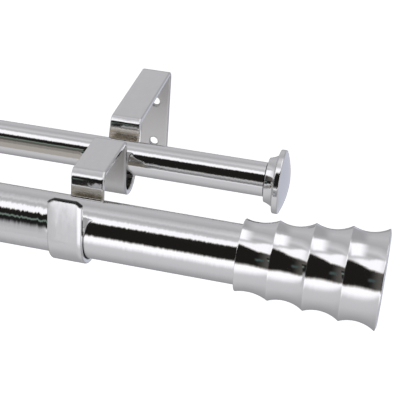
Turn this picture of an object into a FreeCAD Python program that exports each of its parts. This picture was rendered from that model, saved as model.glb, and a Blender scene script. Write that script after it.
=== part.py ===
import FreeCAD, Part
import Sketcher
import math
import os
from FreeCAD import Placement, Rotation, Vector

# Double curtain pole: two parallel tubes in two folded strip brackets.
# +X runs along the poles, +Y goes into the wall and +Z is up.
# The wall is the plane Y = 0 and the origin is the middle of the four screw holes.

DIMENSIONS = (
    ("front_diameter", 25.4, "outside of the front pole"),
    ("rear_diameter", 15.9, "outside of the rear pole"),
    ("tube_wall", 0.9, "wall of both poles"),
    ("span", 1100.0, "collar to collar on the front pole"),
    ("rear_overhang", 0.4, "a rear cap's collar beyond the finial's collar"),
    ("front_reach", 123.0, "wall to the axis of the front pole"),
    ("rear_reach", 67.9, "wall to the axis of the rear pole"),
    ("front_drop", 3.1, "front axis below the middle of the screw holes"),
    ("rear_rise", 7.0, "rear axis above the middle of the screw holes"),
    ("socket_depth", 3.0, "length of pole inside a finial or a cap"),
    ("socket_clearance", 0.15, "radial play of a pole in that socket"),
    ("end_clearance", 0.1, "play between a pole's end and the socket floor"),
    ("seat_clearance", 0.05, "radial play of a pole in its seat"),
    ("bracket_inset", 71.7, "finial collar to the middle of the bracket"),
    ("strip_width", 14.9, "width of the folded strip"),
    ("strip_thickness", 2.5, "thickness of the folded strip"),
    ("edge_radius", 0.7, "rounding of the strip's long edges"),
    ("bend_inner_radius", 1.2, "inside of the tight folds"),
    ("wall_top", 28.8, "top of the fold at the wall"),
    ("riser_top", 19.6, "top of the fold between the poles"),
    ("lip_top", 15.5, "top of the front lip"),
    ("plate_drop", 20.0, "lower end of the wall plate"),
    ("rear_arm_fall", 8.1, "degrees that the rear arm falls"),
    ("front_arm_fall", 5.8, "degrees that the front arm falls"),
    ("riser_lean", 1.0, "degrees that the riser leans to the room"),
    ("back_leg_lean", 14.2, "degrees that the leg behind the rear pole leans"),
    ("rear_seat_radius", 6.85, "inside of the bend below the rear pole"),
    ("end_round", 0.5, "rounding of the lip's top edges"),
    ("corner_width", 2.6, "cut corners of the strip's ends, along X"),
    ("corner_height", 1.6, "cut corners of the strip's ends, along Z"),
    ("corner_round", 1.5, "rounding of the lip's cut corners"),
    ("screw_spacing", 22.7, "between the two screw holes of a bracket"),
    ("screw_hole_diameter", 4.6, "screw holes"),
    ("hole_bevel", 0.35, "bevel at the front of a screw hole"),
    ("collar_wall", 2.6, "finial collar outside the pole"),
    ("first_rib_pitch", 14.0, "collar to the first ridge"),
    ("rib_pitch", 14.85, "ridge to ridge"),
    ("rib_flare", 1.43, "growth of the radius from ridge to ridge"),
    ("first_scallop_depth", 1.35, "hollow between the collar and the first ridge"),
    ("scallop_depth", 1.95, "hollow between two ridges"),
    ("ridge_round", 0.2, "rounding of the ridges"),
    ("end_bevel_width", 2.0, "bevel of the finial's end, across"),
    ("end_bevel_height", 0.6, "bevel of the finial's end, along the pole"),
    ("front_stem_radius", 5.0, "stem that the finial is pressed on"),
    ("front_stem_length", 14.0, "length of that stem"),
    ("neck_wall", 2.3, "cap collar outside the rear pole"),
    ("neck_length", 4.1, "cap collar to the end of the flared neck"),
    ("neck_flare", 1.85, "growth of the neck's radius"),
    ("neck_flare_radius", 12.0, "hollow curve of the neck"),
    ("rim_overhang", 2.7, "rim outside the end of the neck"),
    ("rim_back", 0.5, "slope of the rim's back, along the pole"),
    ("rim_thickness", 2.5, "rim along the pole"),
    ("rim_round", 0.45, "rounding of the rim's edges"),
    ("dome_height", 3.2, "crown of the cap"),
    ("rear_stem_radius", 3.0, "stem that the cap is pressed on"),
    ("rear_stem_length", 4.5, "length of that stem"),
    ("stem_clearance", 0.1, "play of a stem in its bore"),
    ("stem_chamfer", 0.6, "lead of a stem's tip"),
    ("plug_length", 22.0, "plug inside a pole"),
    ("plug_clearance", 0.05, "radial play of the plug's ribs in the tube"),
    ("plug_rib_height", 0.6, "crush ribs of a plug"),
    ("plug_rib_width", 1.4, "width of a crush rib"),
)
RIDGE_COUNT = 4
PLUG_RIB_COUNT = 6
OUTWARD = {"": 90, "-": -90}

doc = FreeCAD.newDocument("DoubleCurtainPole")
sheet = doc.addObject("Spreadsheet::Sheet", "Sizes")
for row, (alias, value, note) in enumerate(DIMENSIONS, start=1):
    sheet.set("A%d" % row, note)
    sheet.set("B%d" % row, str(value))
    sheet.setAlias("B%d" % row, alias)
doc.recompute()


def value_of(expression):
    """Number that an expression of the sheet's aliases gives, angles in degrees."""
    result = sheet.evalExpression(expression)
    return getattr(result, "Value", result)


def origin_plane(body, role):
    """Origin plane or axis of a body, found by its role."""
    return [part for part in body.Origin.OriginFeatures if part.Role == role][0]


def new_sketch(body, role, name, lift=None):
    """Sketch on an origin plane, lifted along the plane's normal by an expression."""
    sketch = body.newObject("Sketcher::SketchObject", name)
    sketch.AttachmentSupport = [(origin_plane(body, role), "")]
    sketch.MapMode = "FlatFace"
    if lift:
        sketch.setExpression("AttachmentOffset.Base.z", lift)
    return sketch


def dimension(sketch, kind, references, name, expression, sign=1):
    """Dimensional constraint bound to an expression of the sheet."""
    value = value_of(expression)
    if kind == "Angle":
        value = math.radians(value)
    index = sketch.addConstraint(Sketcher.Constraint(kind, *references, sign * value))
    sketch.renameConstraint(index, name)
    sketch.setExpression("Constraints." + name, expression)


def pin_point(sketch, geometry, end, across, along, name):
    """Hold a point at positive distances from the origin, 0 meaning on the axis."""
    for kind, axis, expression in (("DistanceX", -2, across), ("DistanceY", -1, along)):
        if expression == "0":
            sketch.addConstraint(Sketcher.Constraint("PointOnObject", geometry, end, axis))
        else:
            references = (-1, 1, geometry, end)
            dimension(sketch, kind, references, name + kind[-1], expression)


def minor_arc(start, end, radius, hollow):
    """Arc between two points of a profile, hollow or crowned towards the outside."""
    chord = end - start
    middle = (start + end) * 0.5
    rise = math.sqrt(radius ** 2 - (chord.Length / 2) ** 2)
    outward = Vector(chord.y, -chord.x, 0).normalize()
    centre = middle + outward * (rise if hollow else -rise)
    first, last = (end, start) if hollow else (start, end)
    turn = [math.atan2(point.y - centre.y, point.x - centre.x) for point in (first, last)]
    if turn[1] < turn[0]:
        turn[1] += 2 * math.pi
    return Part.ArcOfCircle(Part.Circle(centre, Vector(0, 0, 1), radius), *turn)


def revolved_profile(body, name, corners):
    """Closed half section turned about Z. A corner is (height, radius[, arc radius, hollow])."""
    sketch = new_sketch(body, "XZ_Plane", name + "_profile")
    points = [Vector(value_of(corner[1]), value_of(corner[0]), 0) for corner in corners]
    for index, corner in enumerate(corners):
        start, end = points[index], points[(index + 1) % len(points)]
        if len(corner) > 2:
            sketch.addGeometry(minor_arc(start, end, value_of(corner[2]), corner[3]))
        else:
            sketch.addGeometry(Part.LineSegment(start, end))
    ends = [profile_ends(sketch, index, point) for index, point in enumerate(points)]
    for index, corner in enumerate(corners):
        following = (index + 1) % len(points)
        joint = (index, ends[index][1], following, ends[following][0])
        sketch.addConstraint(Sketcher.Constraint("Coincident", *joint))
        pin_point(sketch, index, ends[index][0], corner[1], corner[0], "corner%d" % index)
        if len(corner) > 2:
            dimension(sketch, "Radius", (index,), "arc%d" % index, corner[2])
    turned = body.newObject("PartDesign::Revolution", name)
    turned.Profile = sketch
    turned.ReferenceAxis = (sketch, ["V_Axis"])
    turned.Angle = 360
    doc.recompute()
    return turned


def profile_ends(sketch, index, start):
    """Numbers of the first and last point of a profile's edge, in walking order."""
    edge = sketch.Geometry[index]
    forward = (edge.StartPoint - start).Length < (edge.EndPoint - start).Length
    return (1, 2) if forward else (2, 1)


def new_body(name):
    """Empty body whose label names its file."""
    body = doc.addObject("PartDesign::Body", name)
    body.Label = name
    return body


def place_body(body, across, out, up, tilt=0):
    """Place a body by expressions. A tilt about Y turns its Z axis along the poles."""
    body.Placement = Placement(Vector(), Rotation(Vector(0, 1, 0), tilt))
    for axis, expression in zip("xyz", (across, out, up)):
        body.setExpression("Placement.Base." + axis, expression)


def tangent_chain(sketch, lines, arcs):
    """Join lines and arcs end to end, line first. An arc is (number, entry, exit)."""
    for index, (arc, entry, leave) in enumerate(arcs):
        before, after = lines[index], lines[index + 1]
        sketch.addConstraint(Sketcher.Constraint("Tangent", before, 2, arc, entry))
        sketch.addConstraint(Sketcher.Constraint("Tangent", arc, leave, after, 1))


def heading(degrees):
    """Unit vector in the sketch at an angle from its first axis."""
    return Vector(math.cos(math.radians(degrees)), math.sin(math.radians(degrees)), 0)


def crossing(point_a, heading_a, point_b, heading_b):
    """Point where two lines meet."""
    direction_a, direction_b = heading(heading_a), heading(heading_b)
    gap = point_b - point_a
    spread = direction_a.cross(direction_b).z
    return point_a + direction_a * (gap.cross(direction_b).z / spread)


def strip_runs():
    """Straight runs of the strip's middle line as (a point, heading), wall to lip."""
    half = value_of("Sizes.strip_thickness / 2")
    bend = value_of("Sizes.bend_inner_radius") + half
    rear_axis = Vector(-value_of("Sizes.rear_reach"), value_of("Sizes.rear_rise"), 0)
    front_axis = Vector(-value_of("Sizes.front_reach"), -value_of("Sizes.front_drop"), 0)
    grip = value_of("Sizes.rear_diameter / 2 + Sizes.seat_clearance") + half
    front_seat = value_of("Sizes.front_diameter / 2 + Sizes.seat_clearance") + half
    arm = 180 + value_of("Sizes.rear_arm_fall")
    leg = 270 - value_of("Sizes.back_leg_lean")
    riser = 90 + value_of("Sizes.riser_lean")
    front_arm = 180 + value_of("Sizes.front_arm_fall")
    wall_fold = Vector(-half - bend, value_of("Sizes.wall_top") - half - bend, 0)
    riser_point = rear_axis + heading(riser + 90) * grip
    fold_level = Vector(0, value_of("Sizes.riser_top") - half - bend, 0)
    riser_fold = crossing(riser_point + heading(riser + 90) * bend, riser, fold_level, 180)
    return (
        (Vector(-half, -value_of("Sizes.plate_drop"), 0), 90),
        (wall_fold + heading(arm - 90) * bend, arm),
        (rear_axis + heading(leg + 90) * grip, leg),
        (riser_point, riser),
        (riser_fold + heading(front_arm - 90) * bend, front_arm),
        (front_axis + Vector(front_seat, 0, 0), 270),
        (front_axis - Vector(front_seat, 0, 0), 90),
    )


def strip_bends():
    """Middle radius and turning side of each bend, left being 1, wall to lip."""
    half = value_of("Sizes.strip_thickness / 2")
    tight = value_of("Sizes.bend_inner_radius") + half
    rear = value_of("Sizes.rear_seat_radius") + half
    front = value_of("Sizes.front_diameter / 2 + Sizes.seat_clearance") + half
    return (tight, 1), (tight, 1), (rear, -1), (tight, 1), (tight, 1), (front, -1)


def bend_centre(before, after, radius, side):
    """Centre of the arc that rounds the corner of two runs."""
    (point_a, angle_a), (point_b, angle_b) = before, after
    if abs(math.sin(math.radians(angle_b - angle_a))) < 1e-9:
        return (point_a + point_b) * 0.5
    shift_a = heading(angle_a + 90 * side) * radius
    shift_b = heading(angle_b + 90 * side) * radius
    return crossing(point_a + shift_a, angle_a, point_b + shift_b, angle_b)


def draw_strip_line(sketch):
    """Draw the middle line near its final place. Gives its line and arc numbers."""
    runs = strip_runs()
    start = runs[0][0]
    lines, arcs = [], []
    for index, (radius, side) in enumerate(strip_bends()):
        before, after = runs[index], runs[index + 1]
        centre = bend_centre(before, after, radius, side)
        first, last = before[1] - 90 * side, after[1] - 90 * side
        entry = centre + heading(first) * radius
        leave = centre + heading(last) * radius
        lines.append(sketch.addGeometry(Part.LineSegment(start, entry)))
        low, high = (first, last) if side > 0 else (last, first)
        circle = Part.Circle(centre, Vector(0, 0, 1), radius)
        arc = Part.ArcOfCircle(circle, math.radians(low), math.radians(high))
        ends = (1, 2) if side > 0 else (2, 1)
        arcs.append((sketch.addGeometry(arc), *ends))
        start = leave
    tip = Vector(start.x, value_of("Sizes.lip_top"), 0)
    lines.append(sketch.addGeometry(Part.LineSegment(start, tip)))
    return lines, arcs


def strip_path(body):
    """Middle line of the strip: wall plate, arm, rear seat, riser, arm, front seat, lip."""
    sketch = new_sketch(body, "YZ_Plane", "strip_path")
    lines, arcs = draw_strip_line(sketch)
    tangent_chain(sketch, lines, arcs)
    bends = [arc[0] for arc in arcs]
    size_wall_end(sketch, lines, bends)
    aim_runs(sketch, lines)
    size_rear_seat(sketch, lines, bends)
    size_front_end(sketch, lines, bends)
    return sketch


def size_wall_end(sketch, lines, bends):
    """Place the wall plate, and give the four tight bends their size and level."""
    wall_fold, rear_bend, _, riser_fold, front_bend, _ = bends
    half = "Sizes.strip_thickness / 2"
    dimension(sketch, "DistanceX", (lines[0], 1, -1, 1), "wall_middle", half)
    dimension(sketch, "DistanceY", (lines[0], 1, -1, 1), "wall_foot", "Sizes.plate_drop")
    tight = "Sizes.bend_inner_radius + " + half
    for number, arc in enumerate((wall_fold, rear_bend, riser_fold, front_bend)):
        dimension(sketch, "Radius", (arc,), "tight_bend%d" % number, tight)
    for arc, top, name in ((wall_fold, "wall_top", "wall_fold"),
                           (riser_fold, "riser_top", "riser_fold")):
        level = "Sizes.%s - Sizes.bend_inner_radius - Sizes.strip_thickness" % top
        dimension(sketch, "DistanceY", (-1, 1, arc, 3), name, level)


def aim_runs(sketch, lines):
    """Turn each straight run of the strip to its angle."""
    wall, rear_arm, back_leg, riser, front_arm, front_leg, lip = lines
    for upright in (wall, front_leg, lip):
        sketch.addConstraint(Sketcher.Constraint("Vertical", upright))
    for line, name, angle in (
            (rear_arm, "rear_arm_angle", "(180 + Sizes.rear_arm_fall) * 1 deg"),
            (back_leg, "back_leg_angle", "(270 - Sizes.back_leg_lean) * 1 deg"),
            (riser, "riser_angle", "(90 + Sizes.riser_lean) * 1 deg"),
            (front_arm, "front_arm_angle", "(180 + Sizes.front_arm_fall) * 1 deg")):
        dimension(sketch, "Angle", (line,), name, angle)


def size_rear_seat(sketch, lines, bends):
    """Wedge the rear pole between the back leg and the riser."""
    back_leg, riser, rear_seat = lines[2], lines[3], bends[2]
    axis = Vector(-value_of("Sizes.rear_reach"), value_of("Sizes.rear_rise"), 0)
    point = sketch.addGeometry(Part.Point(axis), True)
    dimension(sketch, "DistanceX", (point, 1, -1, 1), "rear_axis_out", "Sizes.rear_reach")
    dimension(sketch, "DistanceY", (-1, 1, point, 1), "rear_axis_up", "Sizes.rear_rise")
    half = "Sizes.strip_thickness / 2"
    grip = "Sizes.rear_diameter / 2 + Sizes.seat_clearance + " + half
    dimension(sketch, "Distance", (point, 1, back_leg), "grip_behind", grip)
    dimension(sketch, "Distance", (point, 1, riser), "grip_before", grip)
    dimension(sketch, "Radius", (rear_seat,), "rear_seat", "Sizes.rear_seat_radius + " + half)


def size_front_end(sketch, lines, bends):
    """Set the front seat round the front pole, and end the lip."""
    seat = bends[5]
    radius = "Sizes.front_diameter / 2 + Sizes.seat_clearance + Sizes.strip_thickness / 2"
    dimension(sketch, "Radius", (seat,), "front_seat", radius)
    dimension(sketch, "DistanceX", (seat, 3, -1, 1), "front_axis_out", "Sizes.front_reach")
    dimension(sketch, "DistanceY", (seat, 3, -1, 1), "front_axis_down", "Sizes.front_drop")
    dimension(sketch, "DistanceY", (-1, 1, lines[6], 2), "lip_end", "Sizes.lip_top")


def strip_section(body):
    """Rounded rectangle of the strip at the wall plate's foot, its back on the wall."""
    sketch = new_sketch(body, "XY_Plane", "strip_section", "-Sizes.plate_drop")
    side = value_of("Sizes.strip_width / 2")
    back, front = 0, -value_of("Sizes.strip_thickness")
    radius = value_of("Sizes.edge_radius")
    flats = ((Vector(side - radius, back), Vector(radius - side, back)),
             (Vector(-side, back - radius), Vector(-side, front + radius)),
             (Vector(radius - side, front), Vector(side - radius, front)),
             (Vector(side, front + radius), Vector(side, back - radius)))
    corners = ((Vector(radius - side, back - radius), 90), (Vector(radius - side, front + radius), 180),
               (Vector(side - radius, front + radius), 270), (Vector(side - radius, back - radius), 0))
    for start, end in flats:
        sketch.addGeometry(Part.LineSegment(start, end))
    for centre, first in corners:
        circle = Part.Circle(centre, Vector(0, 0, 1), radius)
        arc = Part.ArcOfCircle(circle, math.radians(first), math.radians(first + 90))
        sketch.addGeometry(arc)
    for index in range(4):
        sketch.addConstraint(Sketcher.Constraint("Tangent", index, 2, index + 4, 1))
        sketch.addConstraint(Sketcher.Constraint("Tangent", index + 4, 2, (index + 1) % 4, 1))
    for flat, way in ((0, "Horizontal"), (1, "Vertical"), (2, "Horizontal"), (3, "Vertical")):
        sketch.addConstraint(Sketcher.Constraint(way, flat))
    for index in (5, 6, 7):
        sketch.addConstraint(Sketcher.Constraint("Equal", 4, index))
    sketch.addConstraint(Sketcher.Constraint("PointOnObject", 0, 1, -1))
    dimension(sketch, "DistanceX", (-1, 1, 3, 1), "half_width", "Sizes.strip_width / 2")
    dimension(sketch, "DistanceX", (1, 1, 3, 1), "width", "Sizes.strip_width")
    dimension(sketch, "DistanceY", (2, 1, -1, 1), "thickness", "Sizes.strip_thickness")
    dimension(sketch, "Radius", (4,), "edge", "Sizes.edge_radius")
    return sketch


def corner_triangle(sketch, upper):
    """Triangle whose slanted side cuts the +X corner of an end of the strip."""
    wide, high = value_of("Sizes.corner_width"), value_of("Sizes.corner_height")
    way = 1 if upper else -1
    level = value_of("Sizes.lip_top") if upper else -value_of("Sizes.plate_drop")
    outer = Vector(value_of("Sizes.strip_width / 2") + wide, level + way * high, 0)
    inner = outer - Vector(3 * wide, 0, 0)
    lower = outer - Vector(0, 3 * way * high, 0)
    for start, end in ((inner, outer), (outer, lower), (lower, inner)):
        sketch.addGeometry(Part.LineSegment(start, end))
    for index in range(3):
        sketch.addConstraint(Sketcher.Constraint("Coincident", index, 2, (index + 1) % 3, 1))
    sketch.addConstraint(Sketcher.Constraint("Horizontal", 0))
    sketch.addConstraint(Sketcher.Constraint("Vertical", 1))
    dimension(sketch, "DistanceX", (-1, 1, 0, 2), "outside",
              "Sizes.strip_width / 2 + Sizes.corner_width")
    dimension(sketch, "DistanceX", (0, 1, 0, 2), "wide", "3 * Sizes.corner_width")
    if upper:
        dimension(sketch, "DistanceY", (-1, 1, 0, 2), "level",
                  "Sizes.lip_top + Sizes.corner_height")
        dimension(sketch, "DistanceY", (1, 2, 1, 1), "high", "3 * Sizes.corner_height")
    else:
        dimension(sketch, "DistanceY", (0, 2, -1, 1), "level",
                  "Sizes.plate_drop + Sizes.corner_height")
        dimension(sketch, "DistanceY", (1, 1, 1, 2), "high", "3 * Sizes.corner_height")


def cut(body, name, sketch, depth, reverse=False):
    """Pocket of a given depth, checked to have taken material away."""
    before = body.Shape.Volume
    pocket = body.newObject("PartDesign::Pocket", name)
    pocket.Profile = sketch
    pocket.setExpression("Length", depth)
    pocket.Reversed = reverse
    doc.recompute()
    if body.Shape.Volume >= before - 1e-6:
        raise RuntimeError(body.Label + ": " + name + " cut nothing")
    return pocket


def mirror_across(body, feature):
    """Repeat a cut on the other side of the strip's middle plane."""
    mirrored = body.newObject("PartDesign::Mirrored", feature.Name + "_mirrored")
    mirrored.Originals = [feature]
    mirrored.MirrorPlane = (origin_plane(body, "YZ_Plane"), [""])
    body.Tip = mirrored
    doc.recompute()


def cut_corners(body):
    """Cut the corners of the lip's top and of the wall plate's foot."""
    front = ("Sizes.front_reach + Sizes.front_diameter / 2 + Sizes.seat_clearance"
             " + 2 * Sizes.strip_thickness")
    lip = new_sketch(body, "XZ_Plane", "lip_corner", front)
    corner_triangle(lip, True)
    mirror_across(body, cut(body, "lip_corner_cut", lip, "3 * Sizes.strip_thickness"))
    foot = new_sketch(body, "XZ_Plane", "foot_corner")
    corner_triangle(foot, False)
    depth = "2 * Sizes.strip_thickness"
    mirror_across(body, cut(body, "foot_corner_cut", foot, depth, reverse=True))


def drill_screw_holes(body):
    """Two screw holes through the wall plate, one above the other."""
    sketch = new_sketch(body, "XZ_Plane", "screw_holes")
    for index, way in enumerate((1, -1)):
        centre = Vector(0, way * value_of("Sizes.screw_spacing / 2"), 0)
        radius = value_of("Sizes.screw_hole_diameter / 2")
        sketch.addGeometry(Part.Circle(centre, Vector(0, 0, 1), radius))
        sketch.addConstraint(Sketcher.Constraint("PointOnObject", index, 3, -2))
        dimension(sketch, "Diameter", (index,), "hole%d" % index, "Sizes.screw_hole_diameter")
    dimension(sketch, "DistanceY", (-1, 1, 0, 3), "upper", "Sizes.screw_spacing / 2")
    dimension(sketch, "DistanceY", (1, 3, -1, 1), "lower", "Sizes.screw_spacing / 2")
    cut(body, "screw_hole_cut", sketch, "2 * Sizes.strip_thickness", reverse=True)


def edges_where(feature, test):
    """Names of a feature's edges that pass a test."""
    numbered = enumerate(feature.Shape.Edges, start=1)
    sound = [(number, edge) for number, edge in numbered if not edge.Degenerated]
    return ["Edge%d" % number for number, edge in sound if test(edge)]


def soften(body, kind, name, size, test):
    """Fillet or chamfer of a body's edges that pass a test."""
    base = body.Tip
    edges = edges_where(base, test)
    if not edges:
        raise RuntimeError(body.Label + ": " + name + " found no edge")
    feature = body.newObject("PartDesign::" + kind, name)
    feature.Base = (base, edges)
    feature.setExpression("Radius" if kind == "Fillet" else "Size", size)
    doc.recompute()
    return feature


def bevel_screw_holes(body):
    """Small bevel where a screw's head meets the wall plate."""
    level = -value_of("Sizes.strip_thickness")

    def at_the_front(edge):
        round_edge = isinstance(edge.Curve, Part.Circle)
        return round_edge and abs(edge.Curve.Center.y - level) < 1e-4 and edge.Closed

    soften(body, "Chamfer", "hole_bevel", "Sizes.hole_bevel", at_the_front)


def lip_top_edge(edge, along):
    """Whether an edge lies on the lip's top, along X or through the strip's thickness."""
    if len(edge.Vertexes) != 2:
        return False
    start, end = [vertex.Point for vertex in edge.Vertexes]
    top, beyond = value_of("Sizes.lip_top"), -value_of("Sizes.front_reach")
    level = all(abs(point.z - top) < 1e-4 and point.y < beyond for point in (start, end))
    return level and along == (abs(start.x - end.x) > abs(start.y - end.y))


def round_lip(body):
    """Soften the lip's cut corners, then the front and back edges of its top."""
    soften(body, "Fillet", "corner_round", "Sizes.corner_round",
           lambda edge: lip_top_edge(edge, False))
    soften(body, "Fillet", "lip_round", "Sizes.end_round",
           lambda edge: lip_top_edge(edge, True))


def build_bracket(name, side):
    """Bracket folded from one steel strip, with a seat for each pole."""
    body = new_body(name)
    path = strip_path(body)
    section = strip_section(body)
    doc.recompute()
    strip = body.newObject("PartDesign::AdditivePipe", "strip")
    strip.Profile = section
    strip.Spine = path
    doc.recompute()
    drill_screw_holes(body)
    bevel_screw_holes(body)
    cut_corners(body)
    round_lip(body)
    reach = "%s(Sizes.span / 2 - Sizes.bracket_inset)" % side
    place_body(body, reach, "0", "0")
    return body


def build_pole(name, diameter, half_span, out, up):
    """Straight tube, its ends inside the two sockets."""
    body = new_body(name)
    sketch = new_sketch(body, "YZ_Plane", "tube_section")
    outer = "Sizes.%s / 2" % diameter
    for index, (label, expression) in enumerate(
            (("outside", outer), ("inside", outer + " - Sizes.tube_wall"))):
        circle = Part.Circle(Vector(), Vector(0, 0, 1), value_of(expression))
        sketch.addGeometry(circle)
        sketch.addConstraint(Sketcher.Constraint("Coincident", index, 3, -1, 1))
        dimension(sketch, "Radius", (index,), label, expression)
    tube = body.newObject("PartDesign::Pad", "tube")
    tube.Profile = sketch
    tube.Midplane = True
    mouth = "(%s + Sizes.socket_depth - Sizes.end_clearance)" % half_span
    tube.setExpression("Length", "2 * " + mouth)
    doc.recompute()
    place_body(body, "0", out, up)
    return body


def finial_corners():
    """Half section of the ribbed finial, from its socket round the ribs to the bore."""
    pole = "Sizes.front_diameter / 2"
    collar = pole + " + Sizes.collar_wall"
    socket = pole + " + Sizes.socket_clearance"
    bore = "Sizes.front_stem_radius + Sizes.stem_clearance"
    corners = [("0", socket)]
    for ridge in range(RIDGE_COUNT):
        first = ridge == 0
        pitch = "Sizes.first_rib_pitch" if first else "Sizes.rib_pitch"
        depth = "Sizes.first_scallop_depth" if first else "Sizes.scallop_depth"
        half_chord = "(%s ^ 2 + Sizes.rib_flare ^ 2) / 4" % pitch
        hollow = "(%s + %s ^ 2) / (2 * %s)" % (half_chord, depth, depth)
        corners.append((ridge_place(ridge), "%s + %d * Sizes.rib_flare" % (collar, ridge),
                        hollow, True))
    brim = "%s + %d * Sizes.rib_flare" % (collar, RIDGE_COUNT)
    brim_place = ridge_place(RIDGE_COUNT)
    end = brim_place + " + Sizes.end_bevel_height"
    depth = "Sizes.socket_depth + Sizes.front_stem_length + Sizes.end_clearance"
    corners += [(brim_place, brim), (end, brim + " - Sizes.end_bevel_width"), (end, "0"),
                (depth, "0"), (depth, bore), ("Sizes.socket_depth", bore),
                ("Sizes.socket_depth", socket)]
    return corners


def ridge_place(ridge):
    """Distance of a ridge from the collar, the collar being ridge 0."""
    if ridge == 0:
        return "0"
    return "Sizes.first_rib_pitch + %d * Sizes.rib_pitch" % (ridge - 1)


def build_finial(name, end):
    """Turned finial: a flared barrel of hollow ribs over the end of the front pole."""
    body = new_body(name)
    revolved_profile(body, "barrel", finial_corners())
    socket = value_of("Sizes.front_diameter / 2 + Sizes.socket_clearance")
    brim_place = value_of(ridge_place(RIDGE_COUNT))

    def outer_ridge(edge):
        if not isinstance(edge.Curve, Part.Circle):
            return False
        place = edge.Curve.Center.z
        return edge.Curve.Radius > socket + 0.5 and place < brim_place + 1e-4

    soften(body, "Fillet", "ridge_round", "Sizes.ridge_round", outer_ridge)
    place_body(body, "%sSizes.span / 2" % end, "-Sizes.front_reach",
               "-Sizes.front_drop", OUTWARD[end])
    return body


def cap_corners():
    """Half section of the domed cap, from its socket round the rim to the bore."""
    pole = "Sizes.rear_diameter / 2"
    neck = pole + " + Sizes.neck_wall"
    flare = neck + " + Sizes.neck_flare"
    rim = flare + " + Sizes.rim_overhang"
    socket = pole + " + Sizes.socket_clearance"
    bore = "Sizes.rear_stem_radius + Sizes.stem_clearance"
    back = "Sizes.neck_length + Sizes.rim_back"
    face = back + " + Sizes.rim_thickness"
    crown = face + " + Sizes.dome_height"
    crown_radius = "((%s) ^ 2 + Sizes.dome_height ^ 2) / (2 * Sizes.dome_height)" % rim
    depth = "Sizes.socket_depth + Sizes.rear_stem_length + Sizes.end_clearance"
    return [("0", socket), ("0", neck, "Sizes.neck_flare_radius", True),
            ("Sizes.neck_length", flare), (back, rim), (face, rim, crown_radius, False),
            (crown, "0"), (depth, "0"), (depth, bore), ("Sizes.socket_depth", bore),
            ("Sizes.socket_depth", socket)]


def build_cap(name, end):
    """Turned cap: a flared neck, a rim and a low dome over the end of the rear pole."""
    body = new_body(name)
    revolved_profile(body, "cap", cap_corners())
    flare = value_of("Sizes.rear_diameter / 2 + Sizes.neck_wall + Sizes.neck_flare")

    def rim_edge(edge):
        return isinstance(edge.Curve, Part.Circle) and edge.Curve.Radius > flare - 1e-4

    soften(body, "Fillet", "rim_round", "Sizes.rim_round", rim_edge)
    place_body(body, "%s(Sizes.span / 2 + Sizes.rear_overhang)" % end, "-Sizes.rear_reach",
               "Sizes.rear_rise", OUTWARD[end])
    return body


def plug_corners(core, stem, stem_length):
    """Half section of a plug: core inside the tube, then the stem that leaves it."""
    shoulder = "Sizes.plug_length"
    tip = "Sizes.plug_length + %s" % stem_length
    return [("0", "0"), ("0", core), (shoulder, core), (shoulder, stem),
            (tip + " - Sizes.stem_chamfer", stem), (tip, stem + " - Sizes.stem_chamfer"),
            (tip, "0")]


def crush_ribs(body, core):
    """Ribs along the plug that grip the inside of the tube."""
    sketch = new_sketch(body, "XY_Plane", "rib_section")
    half = value_of("Sizes.plug_rib_width / 2")
    height = "Sizes.plug_rib_height - Sizes.plug_clearance"
    root, crest = value_of(core) - 1, value_of(core) + value_of(height)
    corners = [Vector(-half, root), Vector(half, root), Vector(half, crest), Vector(-half, crest)]
    for index in range(4):
        following = corners[(index + 1) % 4]
        sketch.addGeometry(Part.LineSegment(corners[index], following))
    for index in range(4):
        sketch.addConstraint(Sketcher.Constraint("Coincident", index, 2, (index + 1) % 4, 1))
    for index, way in enumerate(("Horizontal", "Vertical", "Horizontal", "Vertical")):
        sketch.addConstraint(Sketcher.Constraint(way, index))
    dimension(sketch, "DistanceX", (-1, 1, 0, 2), "half_width", "Sizes.plug_rib_width / 2")
    dimension(sketch, "DistanceX", (0, 1, 0, 2), "width", "Sizes.plug_rib_width")
    dimension(sketch, "DistanceY", (-1, 1, 0, 2), "root", "%s - 1" % core)
    dimension(sketch, "DistanceY", (-1, 1, 1, 2), "crest", "%s + %s" % (core, height))
    rib = body.newObject("PartDesign::Pad", "rib")
    rib.Profile = sketch
    rib.setExpression("Length", "Sizes.plug_length")
    doc.recompute()
    ribs = body.newObject("PartDesign::PolarPattern", "ribs")
    ribs.Originals = [rib]
    ribs.Axis = (origin_plane(body, "Z_Axis"), [""])
    ribs.Angle = 360
    ribs.Occurrences = PLUG_RIB_COUNT
    body.Tip = ribs
    doc.recompute()


def build_plug(name, end, diameter, half_span, stem, out, up):
    """Plastic plug pressed into a pole's end, with a stem that holds the finial or cap."""
    body = new_body(name)
    core = "(Sizes.%s / 2 - Sizes.tube_wall - Sizes.plug_rib_height)" % diameter
    radius, length = "Sizes.%s_radius" % stem, "Sizes.%s_length" % stem
    revolved_profile(body, "plug", plug_corners(core, radius, length))
    crush_ribs(body, core)
    mouth = "%s + Sizes.socket_depth - Sizes.end_clearance" % half_span
    place_body(body, "%s(%s - Sizes.plug_length)" % (end, mouth), out, up, OUTWARD[end])
    return body


def build_all():
    """Every piece of the double curtain pole."""
    front = ("-Sizes.front_reach", "-Sizes.front_drop")
    rear = ("-Sizes.rear_reach", "Sizes.rear_rise")
    front_half = "Sizes.span / 2"
    rear_half = front_half + " + Sizes.rear_overhang"
    pieces = [
        build_pole("front_pole", "front_diameter", front_half, *front),
        build_pole("rear_pole", "rear_diameter", rear_half, *rear),
    ]
    for side, end in (("left", "-"), ("right", "")):
        pieces += [
            build_bracket("bracket_" + side, end),
            build_finial("front_finial_" + side, end),
            build_cap("rear_cap_" + side, end),
            build_plug("front_plug_" + side, end, "front_diameter", front_half,
                       "front_stem", *front),
            build_plug("rear_plug_" + side, end, "rear_diameter", rear_half,
                       "rear_stem", *rear),
        ]
    return pieces


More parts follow.
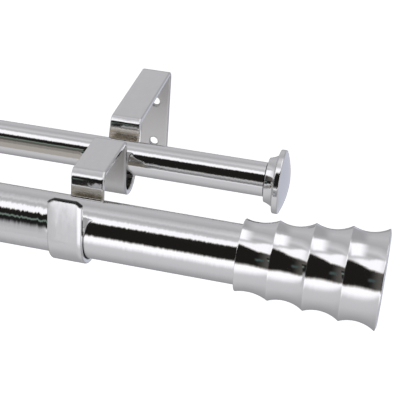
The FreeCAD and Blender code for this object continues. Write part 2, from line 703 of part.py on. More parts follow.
def check_document(pieces):
    """Stop where an object has failed or a piece is not one sound solid."""
    for item in doc.Objects:
        if "Invalid" in item.State or "Error" in item.State:
            raise RuntimeError(item.Label + " failed: " + ", ".join(item.State))
    for piece in pieces:
        shape = piece.Shape
        if shape.isNull() or not shape.isValid() or len(shape.Solids) != 1:
            raise RuntimeError(piece.Label + " is not one sound solid")


pieces = build_all()
doc.recompute()
check_document(pieces)
os.makedirs("parts", exist_ok=True)
for piece in pieces:
    piece.Shape.exportStep("parts/%s.step" % piece.Label)
    box = piece.Shape.BoundBox
    print("%-20s volume %9.1f mm3  X %8.2f to %8.2f  Y %8.2f to %8.2f  Z %7.2f to %7.2f" % (
        piece.Label, piece.Shape.Volume, box.XMin, box.XMax, box.YMin, box.YMax, box.ZMin, box.ZMax))
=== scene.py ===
# %% [markdown]
# # A double curtain pole in polished nickel
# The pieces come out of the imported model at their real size, in metres, in one frame:
# +X runs along the poles, +Y points into the wall and +Z is up.
# This lesson gives them their finish, builds the small studio that a mirror needs around it,
# and points the camera. A mirror has no look of its own, so most of the work is the studio.

import math

import bpy
from mathutils import Matrix, Vector


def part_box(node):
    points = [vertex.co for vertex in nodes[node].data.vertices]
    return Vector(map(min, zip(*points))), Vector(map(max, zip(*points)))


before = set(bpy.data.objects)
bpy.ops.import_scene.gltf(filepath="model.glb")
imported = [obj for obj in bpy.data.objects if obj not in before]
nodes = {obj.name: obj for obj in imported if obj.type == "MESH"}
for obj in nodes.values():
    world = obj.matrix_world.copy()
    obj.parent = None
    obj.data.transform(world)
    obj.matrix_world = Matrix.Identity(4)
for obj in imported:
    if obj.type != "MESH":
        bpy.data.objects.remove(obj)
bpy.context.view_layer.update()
print("pieces from the model:", ", ".join(sorted(nodes)))

# %% [markdown]
# ## Places taken from the model
# A finish that changes along a piece needs places: the axis of a pole, the middle of a bracket,
# the two ends of a finial. They could be typed in. Read from the boxes of the pieces they stay
# right when a size of the model changes.


# %% Axes, bracket and finial
def middle(node):
    """Middle of a piece: half the sum of its lowest and its highest corner."""
    low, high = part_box(node)
    return (low + high) / 2


FRONT_Y, FRONT_Z = middle("front_pole").yz
REAR_Y, REAR_Z = middle("rear_pole").yz
BRACKET_X = middle("bracket_right").x
FINIAL_COLLAR, FINIAL_END = (corner.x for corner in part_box("front_finial_right"))
print("front axis: %.4f, %.4f" % (FRONT_Y, FRONT_Z))
print("rear axis: %.4f, %.4f" % (REAR_Y, REAR_Z))
print("bracket at %.4f, finial from %.4f to %.4f" % (BRACKET_X, FINIAL_COLLAR, FINIAL_END))

# %% [markdown]
# ## Shading nodes in a few words
# Every finish below is a chain of small sums on a coordinate. Written node by node that hides
# the idea, so these helpers let a finish read like a formula: each adds its nodes and gives
# their output back. A plain number that is the same all over the surface never goes through
# them. It is set on the shader's own socket.


# %% Node helpers
class Nodes:
    """Adds nodes to one tree. A value is a number, a tuple or another node's output."""

    def __init__(self, tree):
        self.tree = tree

    def new(self, kind, **settings):
        """One node, with its settings."""
        node = self.tree.nodes.new(kind)
        for name, value in settings.items():
            setattr(node, name, value)
        return node

    def put(self, socket, value):
        """Link an output to a socket, or write a plain value into it."""
        if isinstance(value, bpy.types.NodeSocket):
            self.tree.links.new(value, socket)
        else:
            socket.default_value = value

    def fill(self, sockets, values):
        """Put one value into each socket, in their order."""
        for socket, value in zip(sockets, values):
            self.put(socket, value)

    def math(self, operation, *values):
        """One sum, such as ADD, MAXIMUM or SQRT."""
        node = self.new("ShaderNodeMath", operation=operation)
        self.fill(node.inputs, values)
        return node.outputs[0]

    def product(self, value, *others):
        """All the values multiplied together."""
        for other in others:
            value = self.math("MULTIPLY", value, other)
        return value

    def vector(self, operation, *values):
        """One sum of vectors, such as ADD or CROSS_PRODUCT."""
        node = self.new("ShaderNodeVectorMath", operation=operation)
        self.fill(node.inputs, values)
        return node.outputs[0]

    def parts(self, vector):
        """The X, Y and Z of a vector."""
        node = self.new("ShaderNodeSeparateXYZ")
        self.put(node.inputs[0], vector)
        return node.outputs


print("helpers for sums are ready")

# %% [markdown]
# ## Shares
# A finish says where something is and how strongly, so most sums end in a share: 0 where there
# is none of it, 1 where there is all of it, and a soft edge between. A colour ramp could hold
# the edge, but its stops are hidden in the node. A smooth step has them in plain numbers.


# %% Helpers for shares
class Shares(Nodes):
    """Soft edges, and values and colours laid over each other by a share."""

    def ramp(self, value, low, high, first=0.0, last=1.0):
        """Smooth step: first below low, last above high, and an S curve between them."""
        node = self.new("ShaderNodeMapRange", interpolation_type="SMOOTHSTEP")
        self.fill(node.inputs, (value, low, high, first, last))
        return node.outputs[0]

    def fall(self, value, low, high):
        """Smooth step down: 1 below low and 0 above high."""
        return self.ramp(value, low, high, 1.0, 0.0)

    def window(self, value, low, high, soft):
        """1 between low and high, 0 outside, with edges that are 2 * soft wide."""
        rise = self.ramp(value, low - soft, low + soft)
        return self.product(rise, self.fall(value, high - soft, high + soft))

    def blend(self, share, start, end):
        """start where share is 0 and end where it is 1, for numbers."""
        node = self.new("ShaderNodeMix", data_type="FLOAT")
        self.fill([node.inputs[i] for i in (0, 2, 3)], (share, start, end))
        return node.outputs[0]

    def tint(self, share, start, end):
        """start where share is 0 and end where it is 1, for colours."""
        node = self.new("ShaderNodeMix", data_type="RGBA")
        ends = [(*value, 1.0) if isinstance(value, tuple) else value for value in (start, end)]
        self.fill([node.inputs[i] for i in (0, 6, 7)], (share, *ends))
        return node.outputs[2]


print("helpers for shares are ready")

# %% [markdown]
# ## A finish that stays on its piece
# Polish and haze belong to the metal and turn with it. The pattern could follow the view or a
# UV map, but the first slides when the camera moves, and a mesh from a CAD file has no UV map.
# The object's own coordinates, in metres, stay on the piece and have its real scale.


# %% One material to fill
class Finish(Shares):
    """A new material, with its shader and the object's own coordinates."""

    def __init__(self, name, colour):
        self.material = bpy.data.materials.new(name)
        self.material.use_nodes = True
        super().__init__(self.material.node_tree)
        self.shader = self.tree.nodes["Principled BSDF"]
        self.set("Base Color", (*colour, 1.0))
        self.place = self.new("ShaderNodeTexCoord").outputs["Object"]
        self.x, self.y, self.z = self.parts(self.place)

    def set(self, name, value):
        """Put a value into a socket of the shader."""
        self.put(self.shader.inputs[name], value)

    def stretch(self, scales):
        """The object's coordinates, each multiplied by its own scale."""
        node = self.new("ShaderNodeMapping")
        self.put(node.inputs["Vector"], self.place)
        self.put(node.inputs["Scale"], scales)
        return node.outputs[0]

    def noise(self, vector, scale=1.0, detail=2.0, roughness=0.5):
        """Cloudy noise around 0.5, with scale clouds to each unit of the vector."""
        node = self.new("ShaderNodeTexNoise")
        names = ("Vector", "Scale", "Detail", "Roughness")
        self.fill([node.inputs[name] for name in names], (vector, scale, detail, roughness))
        return node.outputs["Fac"]


print("a finish can be started")

# %% [markdown]
# ## Polished nickel
# Real nickel plate is a mirror with a trace of its making: the gloss is a little cloudy, the
# sheet below it is not quite flat, and the polishing wheel leaves fine marks, each tilted a
# hair differently from the next, so the edge of a reflected band turns ragged.
# It could be a flat chrome shader, but then nothing gives the scale away. Here the colour is
# one neutral metal, the roughness varies a little, and the normal carries slow waves and the
# wheel's marks. Sharp edges are rolled over in the polishing drum. A bevel modifier could do
# that, but the Bevel node does it for light alone and leaves the measured shape as it is.

# %% The nickel finish
NICKEL = (0.80, 0.795, 0.79)
ALONG, UP = (1.0, 0.0, 0.0), (0.0, 0.0, 1.0)
CLOUDS_PER_METRE, CLOUD_EDGES = 60.0, (0.3, 0.7)


class Nickel(Finish):
    """Nickel plate. It keeps its gloss and its normal, which each finish below changes."""

    def __init__(self, name, polish, wave_scale, wave_depth, edge_radius):
        super().__init__(name, NICKEL)
        self.set("Metallic", 1.0)
        clouds = self.noise(self.place, CLOUDS_PER_METRE, detail=3.0)
        self.gloss = self.ramp(clouds, *CLOUD_EDGES, *polish)
        edge = self.new("ShaderNodeBevel", samples=6)
        self.put(edge.inputs["Radius"], edge_radius)
        bump = self.new("ShaderNodeBump")
        self.put(bump.inputs["Strength"], 1.0)
        self.put(bump.inputs["Distance"], 1.0)
        wave = self.noise(self.place, wave_scale, detail=1.0)
        self.put(bump.inputs["Height"], self.product(wave, wave_depth))
        self.put(bump.inputs["Normal"], edge.outputs[0])
        self.normal = bump.outputs[0]

    def push(self, direction, amount):
        """Tilt the normal: the unit vector along normal + amount * direction."""
        step = self.new("ShaderNodeVectorMath", operation="SCALE")
        self.put(step.inputs[0], direction)
        self.put(step.inputs["Scale"], amount)
        self.normal = self.vector("NORMALIZE", self.vector("ADD", self.normal, step.outputs[0]))

    def wheel_marks(self, scales, tilt, detail=3.0, roughness=0.7):
        """Tilt the normal round the poles by tilt * (noise - 0.5), noise stretched by scales."""
        marks = self.noise(self.stretch(scales), detail=detail, roughness=roughness)
        across = self.vector("CROSS_PRODUCT", self.normal, ALONG)
        self.push(across, self.product(self.math("SUBTRACT", marks, 0.5), tilt))


print("nickel can be started, colour", NICKEL)

# %% [markdown]
# ## The tubes
# A tube is polished while it spins, so the marks are rings, about one to the millimetre. On the
# front pole they are twice as deep between the brackets. A dark line at each collar is painted
# shade, which stands in for the shade in the gap of the joint. The rings could be cut into the
# mesh, but they are far shallower than a hair, so a tilted normal is enough.

# %% The tubes' finish
RINGS, RING_TILT = (1100.0, 40.0, 40.0), 0.10
DEEP_UP_TO = (BRACKET_X - 0.0103, BRACKET_X - 0.0023)
FRONT_POLE_ONLY = (FRONT_Y + 0.018, FRONT_Y + 0.023)
# Painted shade: a dark ring on the tube next to each collar, for the gap of the joint.
JOINT_SHADE = (FINIAL_COLLAR - 0.0004, FINIAL_COLLAR - 0.0001)
JOINT_SHADE_COLOUR = (0.02, 0.015, 0.012)

tube = Nickel("nickel_tube", polish=(0.05, 0.09), wave_scale=90.0, wave_depth=3e-6,
              edge_radius=0.0002)
from_centre = tube.math("ABSOLUTE", tube.x)
deep = tube.product(tube.fall(from_centre, *DEEP_UP_TO), tube.fall(tube.y, *FRONT_POLE_ONLY))
ring_tilt = tube.blend(deep, RING_TILT, 2.0 * RING_TILT)
tube.wheel_marks(RINGS, ring_tilt)
tube.set("Normal", tube.normal)
tube.set("Roughness", tube.gloss)
# The colour turns to the painted shade of the joint next to each collar.
tube.set("Base Color", tube.tint(tube.ramp(from_centre, *JOINT_SHADE), NICKEL, JOINT_SHADE_COLOUR))
print("finish:", tube.material.name, "with a joint from %.4f m" % JOINT_SHADE[0])

# %% [markdown]
# ## The turned pieces
# Finials and caps are turned on a lathe and then polished, so their rings are a little wider
# apart and shallower. The finial's flat end is left as the tool made it, which is satin. It
# could be a material of its own on the end's faces. A share by place gives it without touching
# the mesh.

# %% The finish of finials and caps
TURNED_RINGS, TURNED_TILT = (900.0, 40.0, 40.0), 0.04
END_FACE, END_ROUGHNESS = (FINIAL_END - 0.0002, FINIAL_END - 0.0001), 0.40

turned = Nickel("nickel_turned", polish=(0.06, 0.10), wave_scale=70.0, wave_depth=2e-6,
                edge_radius=0.0006)
turned.wheel_marks(TURNED_RINGS, TURNED_TILT)
turned.set("Normal", turned.normal)
end_face = turned.ramp(turned.math("ABSOLUTE", turned.x), *END_FACE)
turned.set("Roughness", turned.blend(end_face, turned.gloss, END_ROUGHNESS))
print("finish:", turned.material.name, "with a satin end from %.5f m" % END_FACE[0])

# %% [markdown]
# ## The bracket's strip
# The strip is flat steel, polished before it is bent, with its cut edges rolled over, so each
# face ends in a thin bright or dark line. Every fold has its own polish, and the uprights get a
# painted brownish reflection.
# Each place could be typed in the model's frame. Measured from the axis of the pole that the
# fold holds, the numbers say what they are: so far behind the axis, so far above it.

# %% The strip's metal and its coordinates
STRIP_MARKS, STRIP_TILT = (420.0, 130.0, 130.0), 0.12

strip = Nickel("nickel_strip", polish=(0.09, 0.13), wave_scale=70.0, wave_depth=3e-6,
               edge_radius=0.0011)
strip.wheel_marks(STRIP_MARKS, STRIP_TILT, detail=2.0, roughness=0.6)
behind_front = strip.math("SUBTRACT", strip.y, FRONT_Y)
above_front = strip.math("SUBTRACT", strip.z, FRONT_Z)
behind_rear = strip.math("SUBTRACT", strip.y, REAR_Y)
above_rear = strip.math("SUBTRACT", strip.z, REAR_Z)
outwards = strip.math("SUBTRACT", strip.math("ABSOLUTE", strip.x), BRACKET_X)
print("strip: four distances from the axes and one from its middle line")

# %% [markdown]
# ## The lip
# The lip in front of the pole is bent a little hollow, so it looks up more and more towards
# its top and is brighter there. Its outer edge looks up too. A hollow could be modelled, but
# this one is only about a fifth of a millimetre deep, so a tilt of the normal is enough.

# %% The lip's hollow
LIP = (-0.0140, -0.0115)
STEEP_FROM, STEEP = 0.0148, 10.0
GENTLE_FROM, GENTLE, GENTLE_LOWEST = 0.0176, 4.2, -0.030
OUTER_EDGE, EDGE_TILT = (0.0052, 0.0062), 0.16

lip = strip.fall(behind_front, *LIP)
above_steep = strip.math("MAXIMUM", strip.math("SUBTRACT", above_front, STEEP_FROM), 0.0)
above_gentle = strip.math("SUBTRACT", above_front, GENTLE_FROM)
above_gentle = strip.math("MAXIMUM", above_gentle, GENTLE_LOWEST)
hollow = strip.math("ADD", strip.product(above_steep, STEEP), strip.product(above_gentle, GENTLE))
edge_tilt = strip.ramp(outwards, *OUTER_EDGE, 0.0, EDGE_TILT)
lip_tilt = strip.product(lip, strip.math("ADD", hollow, edge_tilt))
print("lip: looks up by up to", EDGE_TILT, "more at its outer edge")

# %% [markdown]
# ## The folds
# Where steel is folded its outside stretches and flattens, so a fold isn't the clean quarter
# round that the model has, and a reflection runs through it in steps. The strip could be drawn
# that way, but its folds keep one plain radius, and the normal is tilted up or down instead.

# %% Light on the folds
FRONT_FOLD, FRONT_FOLD_HEIGHT = (0.0135, 0.0170), (0.0125, 0.0191, 0.0008)
FRONT_FOLD_START = (-0.0020, 0.0080)
FRONT_TILT_HEIGHT, FRONT_TILTS = (0.0148, 0.0172), (0.30, 0.60)
REAR_FOLD, REAR_LOW, REAR_LOW_TILT = (0.0054, 0.0329, 0.001), (0.0080, 0.0110), -0.3
REAR_STREAK, REAR_STREAK_TILT = (0.0122, 0.0136, 0.0006), 0.32

front_fold = strip.product(strip.fall(behind_front, *FRONT_FOLD),
                           strip.window(above_front, *FRONT_FOLD_HEIGHT),
                           strip.ramp(above_front, *FRONT_TILT_HEIGHT, *FRONT_TILTS),
                           strip.ramp(behind_front, *FRONT_FOLD_START))
streak = strip.product(strip.window(above_rear, *REAR_STREAK), REAR_STREAK_TILT)
rear_fold = strip.math("ADD", strip.ramp(above_rear, *REAR_LOW, REAR_LOW_TILT, 0.0), streak)
rear_fold = strip.product(strip.window(behind_rear, *REAR_FOLD), rear_fold)
fold_tilt = strip.math("ADD", front_fold, rear_fold)
strip.push(UP, strip.math("ADD", lip_tilt, fold_tilt))
strip.set("Normal", strip.normal)
print("folds: tilts from", REAR_LOW_TILT, "to", FRONT_TILTS[1])

# %% [markdown]
# ## Painted reflection on the uprights
# The short uprights are painted a brownish grey, which stands in for the dim brownish reflection
# they show. Fine level lines break it up, and the uprights are made rougher there. This could be a
# second shader mixed in. One colour and one roughness by share do the same with a single shader.

# %% The painted reflection on the uprights
FRONT_LEG, FRONT_LEG_TOP = (0.0105, 0.0165, 0.0005), (0.0117, 0.0127)
REAR_LEG, REAR_LEG_TOP = (0.0054, 0.0129, 0.0005), (0.0090, 0.0105)
# Painted reflection: brownish colours on the uprights' faces stand in for the dim reflection they
# show.
FRONT_LEG_REFLECTION, REAR_LEG_REFLECTION = (0.50, 0.445, 0.33), (0.66, 0.57, 0.42)
REAR_STRENGTH, LEG_ROUGHNESS = 0.8, 0.34
LINES, LINE_EDGES, LINE_STRENGTHS = (25.0, 25.0, 1500.0), (0.35, 0.65), (0.5, 1.1)

front_leg = strip.product(strip.window(behind_front, *FRONT_LEG),
                          strip.fall(above_front, *FRONT_LEG_TOP))
rear_leg = strip.product(strip.window(behind_rear, *REAR_LEG),
                         strip.fall(above_rear, *REAR_LEG_TOP))
lines = strip.noise(strip.stretch(LINES))
leg_reflection_paint = strip.math("MAXIMUM", front_leg, strip.product(rear_leg, REAR_STRENGTH))
leg_reflection_paint = strip.product(leg_reflection_paint, strip.ramp(lines, *LINE_EDGES, *LINE_STRENGTHS))
leg_reflection_colour = strip.tint(rear_leg, FRONT_LEG_REFLECTION, REAR_LEG_REFLECTION)
print("haze: two colours,", FRONT_LEG_REFLECTION, "and", REAR_LEG_REFLECTION)

# %% [markdown]
# ## Satin, and painted shade
# The wall plate and the riser between the poles lie inside the folds, out of the wheel's
# reach, and stay satin. Two places are painted almost black as shade: the seat's inner face,
# next to the pole, where the gap to the pole lies in shade, and the lip's cut top, for the dark
# gap behind it. Each could be a material on its own faces, but then it would end in a hard line.

# %% Satin inside, and painted shade on the seat and the cut end
WALL_PLATE, RISER = (-0.005, -0.003), (-0.0116, -0.0066, 0.0005)
SATIN, SATIN_ROUGHNESS = (0.61, 0.60, 0.585), 0.42
# Painted shade: the seat's inner face next to the pole and the lip's cut top are painted nearly
# black.
SEAT_GAP_SHADE, SEAT_GAP_SHADE_TOP = (0.0131, 0.0136), (0.0061, 0.0091)
CUT_END_SHADE, LOOKS_UP = (0.0141, 0.0151), (0.2, 0.6)
PAINTED_SHADE_BLACK = (0.03, 0.03, 0.027)

inside = strip.math("MAXIMUM", strip.ramp(strip.y, *WALL_PLATE), strip.window(behind_rear, *RISER))
squares = strip.math("ADD", strip.product(above_front, above_front),
                     strip.product(behind_front, behind_front))
seat_gap_shade = strip.product(strip.fall(strip.math("SQRT", squares), *SEAT_GAP_SHADE),
                     strip.fall(above_front, *SEAT_GAP_SHADE_TOP))
facing = strip.parts(strip.new("ShaderNodeNewGeometry").outputs["Normal"])
cut_end_shade = strip.product(lip, strip.ramp(facing[2], *LOOKS_UP), strip.ramp(above_front, *CUT_END_SHADE))
# The uprights get their painted brownish reflection here.
shade = strip.tint(leg_reflection_paint, strip.tint(inside, NICKEL, SATIN), leg_reflection_colour)
# Painted shade, nearly black, over the seat's inner face and the lip's cut top.
shade = strip.tint(strip.math("MAXIMUM", seat_gap_shade, cut_end_shade), shade, PAINTED_SHADE_BLACK)
strip.set("Base Color", shade)
gloss = strip.blend(inside, strip.gloss, SATIN_ROUGHNESS)
strip.set("Roughness", strip.blend(leg_reflection_paint, gloss, LEG_ROUGHNESS))
print("finish:", strip.material.name, "with", len(strip.tree.nodes), "nodes")

# %% [markdown]
# ## The plugs
# The plugs sit inside the tubes and nobody sees them, but someone who takes a finial off does.
# They are plain moulded plastic, dark, with the fine grain of a mould. A flat colour would do
# for a hidden piece. The grain costs one noise and looks right close up.

# %% The plugs' plastic
GRAINS_PER_METRE, GRAIN_ROUGHNESS = 3000.0, (0.45, 0.6)

plastic = Finish("plug_plastic", (0.035, 0.035, 0.037))
grain = plastic.noise(plastic.place, GRAINS_PER_METRE)
plastic.set("Roughness", plastic.ramp(grain, *CLOUD_EDGES, *GRAIN_ROUGHNESS))
bump = plastic.new("ShaderNodeBump")
plastic.put(bump.inputs["Strength"], 0.4)
plastic.put(bump.inputs["Distance"], 2e-5)
plastic.put(bump.inputs["Height"], grain)
plastic.set("Normal", bump.outputs[0])
print("finish:", plastic.material.name)

# %% [markdown]
# ## Dressing the pieces
# The shapes are right as they come from the model, so each piece keeps its mesh and only gets
# its finish. Pieces of one kind share one material, as they share one bath and one wheel.

# %% Finishes on pieces
FINISHES = {
    "front_pole": tube,
    "rear_pole": tube,
    "bracket": strip,
    "front_finial": turned,
    "rear_cap": turned,
    "front_plug": plastic,
    "rear_plug": plastic,
}
for name, piece in nodes.items():
    finish = next(FINISHES[kind] for kind in FINISHES if name.startswith(kind))
    piece.data.materials.clear()
    piece.data.materials.append(finish.material)
    print("%-20s %s" % (name, finish.material.name))

# %% [markdown]
# ## The studio
# A mirror shows what stands round it. The bands on the poles tell what that was: a dark room
# behind the camera, a long soft light above it, a bright table below it, a square soft light
# overhead to the right, and pale walls.
# Walls and lamps could stand there one by one. A world that is painted by direction does the
# same without noise. Two angles name a direction: the roll round the poles, 0 towards the
# room and 90 straight up, and the lean along the poles.

# %% The two angles
DEGREES = 180 / math.pi

world = bpy.data.worlds.new("studio")
bpy.context.scene.world = world
world.use_nodes = True
world.node_tree.nodes.clear()
sky = Shares(world.node_tree)
along, into_wall, upward = sky.parts(sky.new("ShaderNodeTexCoord").outputs["Generated"])
towards_room = sky.product(into_wall, -1.0)
roll = sky.product(sky.math("ARCTAN2", upward, towards_room), DEGREES)
lean = sky.product(sky.math("ARCSINE", along), DEGREES)
print("a direction is a roll and a lean, in degrees")

# %% [markdown]
# ## The walls
# The walls are lit unevenly: brightest low in front, where the table throws light on them,
# darker under the poles, and with one soft band overhead. A chain of smooth steps could say
# so, but one curve through a few levels is easier to read and to change.

# %% Walls round the poles
WALLS = (
    (-180, 0.42), (-155, 0.28), (-130, 0.34), (-100, 0.45), (-66, 0.65),
    (-40, 0.70), (-30, 0.78), (60, 0.85), (76, 0.66), (86, 0.54),
    (97, 0.75), (108, 0.63), (120, 0.51), (148, 0.61), (180, 0.52),
)

curve = sky.new("ShaderNodeFloatCurve")
curve.mapping.use_clip = False
points = curve.mapping.curves[0].points
while len(points) < len(WALLS):
    points.new(0.5, 0.5)
for point, (angle, brightness) in zip(points, WALLS):
    point.location = ((angle + 180) / 360, brightness)
    point.handle_type = "VECTOR"
curve.mapping.update()
whole_turn = sky.new("ShaderNodeMapRange")
sky.fill(whole_turn.inputs, (roll, -180.0, 180.0, 0.0, 1.0))
sky.put(curve.inputs["Value"], whole_turn.outputs[0])
print("walls:", len(WALLS), "levels round the poles")

# %% [markdown]
# ## The right side
# To the right the wall behind is lighter below and darker above. The curve knows only the
# roll, so these two areas are laid over it as shares of both angles.

# %% Walls on the right
LOW_RIGHT, LOW_ROLL, LOW_LEVEL = (0.0, 6.0), (-146.0, -126.0), 0.63
HIGH_RIGHT, HIGH_ROLL, HIGH_LEVEL = (-8.0, 8.0), (120.0, 134.0), 0.43

low_right = sky.product(sky.ramp(lean, *LOW_RIGHT), sky.fall(roll, *LOW_ROLL))
high_right = sky.product(sky.ramp(lean, *HIGH_RIGHT), sky.ramp(roll, *HIGH_ROLL))
level = sky.blend(low_right, curve.outputs[0], LOW_LEVEL)
level = sky.blend(high_right, level, HIGH_LEVEL)
print("walls: level", LOW_LEVEL, "low and", HIGH_LEVEL, "high on the right")

# %% [markdown]
# ## The table
# The table's far edge bends down to both sides, as a straight edge does round a pole. A plane
# in the scene would bend by itself, but it would need a lamp of its own and add noise. Here
# the edge is bowed by the square of the lean.

# %% The bright table
TABLE_NEAR, TABLE_FAR, TABLE_LEVEL = (-37.0, -15.0), (-5.0, 6.0), 1.3
BOW = 0.0035

below_edge = sky.math("ADD", roll, sky.product(lean, lean, BOW))
table = sky.product(sky.ramp(roll, *TABLE_NEAR), sky.fall(below_edge, *TABLE_FAR))
level = sky.blend(table, level, TABLE_LEVEL)
print("table: level", TABLE_LEVEL)

# %% [markdown]
# ## The long light
# The long soft light gives the poles their brightest band. Its upper edge climbs towards the
# left and its lower edge towards the right, and it dims at both ends. An area lamp would give
# a straight band with hard ends.

# %% The long light above the room
LOWER_EDGE, LOWER_FROM, LOWER_CLIMB = (40.0, 48.0), -24.0, 0.3
UPPER_EDGE, UPPER_FROM, UPPER_CLIMB = (67.0, 77.0), -15.0, 0.42
DIM_RIGHT, DIM_LEFT, DIM = (5.0, 35.0), (-70.0, -46.0), 0.3
LONG_LEVEL = 1.25

right_part = sky.math("MAXIMUM", sky.math("SUBTRACT", lean, LOWER_FROM), 0.0)
above_lower = sky.math("SUBTRACT", roll, sky.product(right_part, LOWER_CLIMB))
left_part = sky.math("MAXIMUM", sky.math("SUBTRACT", UPPER_FROM, lean), 0.0)
above_upper = sky.math("SUBTRACT", roll, sky.product(left_part, UPPER_CLIMB))
long_light = sky.product(sky.fall(above_upper, *UPPER_EDGE), sky.ramp(above_lower, *LOWER_EDGE),
                         sky.ramp(lean, *DIM_RIGHT, 1.0, DIM), sky.ramp(lean, *DIM_LEFT, DIM, 1.0))
level = sky.blend(long_light, level, LONG_LEVEL)
print("long light: level", LONG_LEVEL)

# %% [markdown]
# ## The square light
# A square soft light hangs overhead to the right. It makes the bright patch on top of the
# finial and the cap. Its left side is soft, because the light is seen at a slant from there.

# %% The square light overhead
SQUARE_LEFT, SQUARE_RIGHT, SQUARE_ROLL = (-12.0, 12.0), (29.0, 38.0), (79.0, 117.0, 5.0)
SQUARE_LEVEL = 1.3

square = sky.product(sky.ramp(lean, *SQUARE_LEFT), sky.fall(lean, *SQUARE_RIGHT),
                     sky.window(roll, *SQUARE_ROLL))
level = sky.blend(square, level, SQUARE_LEVEL)
print("square light: level", SQUARE_LEVEL)

# %% [markdown]
# ## The dark room and its lamp
# Between the table and the long light the room is dark, and less so far to the left. A small
# green lamp burns in it. The room could be left out and the band painted on the poles, but
# then it would stay in place when the camera moves.

# %% The dark room
ROOM_BOTTOM, ROOM_TOP, ROOM_RIGHT = (-5.0, 7.0), (45.5, 53.5), (42.0, 54.0)
LEFT_OF_ROOM, ROOM_LEVELS = (-62.0, -24.0), (0.11, 0.014)
LAMP_ROLL, LAMP_LEAN, LAMP_LEVEL = (18.5, 25.5, 2.5), (-46.0, -24.0, 4.0), 0.10

dark = sky.product(sky.ramp(below_edge, *ROOM_BOTTOM), sky.fall(above_lower, *ROOM_TOP),
                   sky.fall(lean, *ROOM_RIGHT))
level = sky.blend(dark, level, sky.ramp(lean, *LEFT_OF_ROOM, *ROOM_LEVELS))
lamp = sky.product(sky.window(roll, *LAMP_ROLL), sky.window(lean, *LAMP_LEAN))
level = sky.blend(lamp, level, LAMP_LEVEL)
print("dark room: levels", ROOM_LEVELS, "and a lamp at", LAMP_LEVEL)

# %% [markdown]
# ## Tints
# The walls are a little cold and bluer low on the right, the dark room is warm, and its lamp
# is green. The camera itself sees plain white behind the pole. A white board could stand
# there, but the mirror would show it, so the world turns white for the camera's rays only.

# %% Tints and output
COLD, BLUE = (0.965, 0.965, 1.01), (0.93, 0.965, 1.10)
WARM, GREEN = (1.0, 0.94, 0.87), (0.6, 1.0, 0.97)
WHITE, WHITE_LEVEL = (1.0, 1.0, 1.0), 1.0

seen = sky.new("ShaderNodeLightPath").outputs["Is Camera Ray"]
level = sky.blend(seen, level, WHITE_LEVEL)
colour = sky.tint(low_right, COLD, BLUE)
for share, over in ((dark, WARM), (lamp, GREEN), (seen, WHITE)):
    colour = sky.tint(share, colour, over)
background = sky.new("ShaderNodeBackground")
sky.fill(background.inputs, (colour, level))
sky.put(sky.new("ShaderNodeOutputWorld").inputs["Surface"], background.outputs[0])
print("world has", len(world.node_tree.nodes), "nodes")

# %% [markdown]
# ## The floor
# The pole hangs on a wall, so the floor lies well below it. It is pale and wide, and it
# catches the pole's soft shadow. It could be a round backdrop. A plane is enough, because the
# world behind it is white too.

# %% The floor plane
FLOOR_LEVEL, FLOOR_REACH = -0.6, 12.0

corners = [(-1, -1), (1, -1), (1, 1), (-1, 1)]
floor_mesh = bpy.data.meshes.new("floor")
floor_mesh.from_pydata([(FLOOR_REACH * x, FLOOR_REACH * y, FLOOR_LEVEL) for x, y in corners],
                       [], [(0, 1, 2, 3)])
floor = bpy.data.objects.new("floor", floor_mesh)
bpy.context.scene.collection.objects.link(floor)
floor.visible_glossy = False
print("floor at", FLOOR_LEVEL, "m")

# %% [markdown]
# ## The floor's paint
# The paint is a plain matt grey that glows a little for the camera, so it looks pale without
# more light on the pole. From below it is clear, as a studio's glass floor is, or the part
# could not be looked at from there.


# %% Stage paint
def stage_paint(mesh):
    """A new bare material on a mesh of the stage, named after it. Gives its nodes."""
    material = bpy.data.materials.new(mesh.name)
    material.use_nodes = True
    material.node_tree.nodes.clear()
    mesh.materials.append(material)
    return Shares(material.node_tree)


def clear_by_share(paint, share, shader):
    """Make the paint's surface: the shader where share is 0, and clear where it is 1."""
    mix = paint.new("ShaderNodeMixShader")
    clear = paint.new("ShaderNodeBsdfTransparent").outputs[0]
    paint.fill(mix.inputs, (share, shader, clear))
    paint.put(paint.new("ShaderNodeOutputMaterial").inputs["Surface"], mix.outputs[0])


FLOOR_GREY, FLOOR_GLOW = (0.8, 0.8, 0.8, 1.0), 0.6

paint = stage_paint(floor_mesh)
matt = paint.new("ShaderNodeBsdfDiffuse")
paint.put(matt.inputs["Color"], FLOOR_GREY)
glow = paint.new("ShaderNodeEmission")
seen = paint.new("ShaderNodeLightPath").outputs["Is Camera Ray"]
paint.put(glow.inputs["Strength"], paint.product(seen, FLOOR_GLOW))
both = paint.new("ShaderNodeAddShader")
paint.fill(both.inputs, (matt.outputs[0], glow.outputs[0]))
from_below = paint.new("ShaderNodeNewGeometry").outputs["Backfacing"]
clear_by_share(paint, from_below, both.outputs[0])
print("floor: matt, with a glow of", FLOOR_GLOW)

# %% [markdown]
# ## Two cards
# The left part of the poles shows something that the world can't: a grey card close in front
# of the front pole, and a brownish one between the poles. A world has no place, only
# directions, so these are real boards. They look towards the wall and are clear from behind,
# and only reflections see them.

# %% A board on the stage
CARD_LEFT = -0.45


def card(name, right, y, low, high):
    """A board that looks towards the wall, from CARD_LEFT to right and low to high.

    Gives its nodes and its coordinates along the poles and up.
    """
    mesh = bpy.data.meshes.new(name)
    mesh.from_pydata([(CARD_LEFT, y, low), (CARD_LEFT, y, high), (right, y, high), (right, y, low)],
                     [], [(0, 1, 2, 3)])
    board = bpy.data.objects.new(name, mesh)
    bpy.context.scene.collection.objects.link(board)
    board.visible_camera = board.visible_diffuse = board.visible_shadow = False
    face = stage_paint(mesh)
    x, _, z = face.parts(face.new("ShaderNodeTexCoord").outputs["Object"])
    return face, x, z


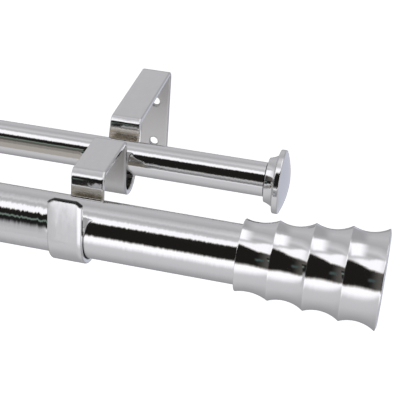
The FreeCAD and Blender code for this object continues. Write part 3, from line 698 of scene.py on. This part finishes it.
def shine(face, strength, colour, clear):
    """Light from the card's face, less a share that is clear. Its back is clear as a whole."""
    light = face.new("ShaderNodeEmission")
    face.fill(light.inputs, (colour, strength))
    behind = face.new("ShaderNodeNewGeometry").outputs["Backfacing"]
    clear_by_share(face, face.math("MAXIMUM", behind, clear), light.outputs[0])


print("cards start at", CARD_LEFT, "m")

# %% [markdown]
# ## The grey card
# It darkens the table's reflection on the left of the front pole. It gets darker upwards, has
# a greenish line near its top, and fades out at its right end, where the table shows again.
# A dark board would be black there. This one gives off a little light of its own, which needs
# no lamp.

# %% The grey card in front
LINE_COLOUR, LINE_LEVEL = (0.74, 1.0, 0.84), 0.24
GREY_LINE, GREY_LINE_FROM = (0.0345, 0.0465, 0.003), (0.400, 0.410)
GREY_BODY, GREY_LEVELS = (-0.017, 0.016), (0.52, 0.015)
GREY_FOOT, GREY_FOOT_LEVEL = (-0.050, -0.010), 0.12
GREY_FADE = (0.4405, 0.4435)

face, x, z = card("grey_card", right=0.455, y=-0.216, low=-0.09, high=0.060)
line = face.product(face.window(z, *GREY_LINE), face.ramp(x, *GREY_LINE_FROM))
grey = face.math("ADD", face.ramp(z, *GREY_BODY, *GREY_LEVELS),
                 face.ramp(z, *GREY_FOOT, GREY_FOOT_LEVEL, 0.0))
shine(face, face.blend(line, grey, LINE_LEVEL), face.tint(line, COLD, LINE_COLOUR),
      face.ramp(x, *GREY_FADE))
print("grey card: levels", GREY_LEVELS, "upwards")

# %% [markdown]
# ## The taupe card
# It stands between the poles and shows in the lower half of the rear one: three brownish
# steps, darker upwards, under a greenish line along its top edge. Three boards could be
# stacked for it, but one with two soft steps has no gaps between them.

# %% The taupe card between the poles
TAUPE_LEVELS, FIRST_STEP, SECOND_STEP = (0.46, 0.29, 0.12), (0.002, 0.006), (0.0115, 0.0145)
TAUPE_LINE = (0.0200, 0.0240, 0.0008)

face, x, z = card("taupe_card", right=0.4555, y=-0.100, low=-0.020, high=0.0245)
line = face.window(z, *TAUPE_LINE)
taupe = face.blend(face.ramp(z, *FIRST_STEP), *TAUPE_LEVELS[:2])
taupe = face.blend(face.ramp(z, *SECOND_STEP), taupe, TAUPE_LEVELS[2])
shine(face, face.blend(line, taupe, LINE_LEVEL), face.tint(line, WARM, LINE_COLOUR), 0.0)
print("taupe card: levels", TAUPE_LEVELS, "upwards")

# %% [markdown]
# ## The camera
# The photograph looks down on the right end of the pole from the right. The camera's place and
# angles were found by lining up the poles, the finial's ridges and the bracket with it.
# YAW turns the camera to the left, PITCH lowers it, and ROLL tips it. Blender's own rotation
# could be set from three angles too, but their order matters. Three directions say plainly
# where the camera looks, what is to its right and what is above it.

# %% The camera
YAW, PITCH, ROLL = (math.radians(angle) for angle in (11.64, 26.16, 4.35))
CAMERA_PLACE = (0.60359, -0.47469, 0.19509)
FOCAL_PIXELS, PICTURE_PIXELS = 982.55, 400
SENSOR_WIDTH = 36.0

level_right = Vector((math.cos(YAW), math.sin(YAW), 0))
level_ahead = Vector((-math.sin(YAW), math.cos(YAW), 0))
ahead = level_ahead * math.cos(PITCH) - Vector(UP) * math.sin(PITCH)
level_up = level_right.cross(ahead)
right = level_right * math.cos(ROLL) + level_up * math.sin(ROLL)
up = level_up * math.cos(ROLL) - level_right * math.sin(ROLL)
lens = bpy.data.cameras.new("camera")
lens.sensor_width = SENSOR_WIDTH
lens.lens = FOCAL_PIXELS * SENSOR_WIDTH / PICTURE_PIXELS
lens.clip_start, lens.clip_end = 0.01, 100.0
camera = bpy.data.objects.new("camera", lens)
bpy.context.scene.collection.objects.link(camera)
turn = Matrix((right, up, -ahead)).transposed().to_4x4()
camera.matrix_world = Matrix.Translation(CAMERA_PLACE) @ turn
bpy.context.scene.camera = camera
bpy.context.scene.view_settings.view_transform = "Standard"
print("lens: %.1f mm" % lens.lens)
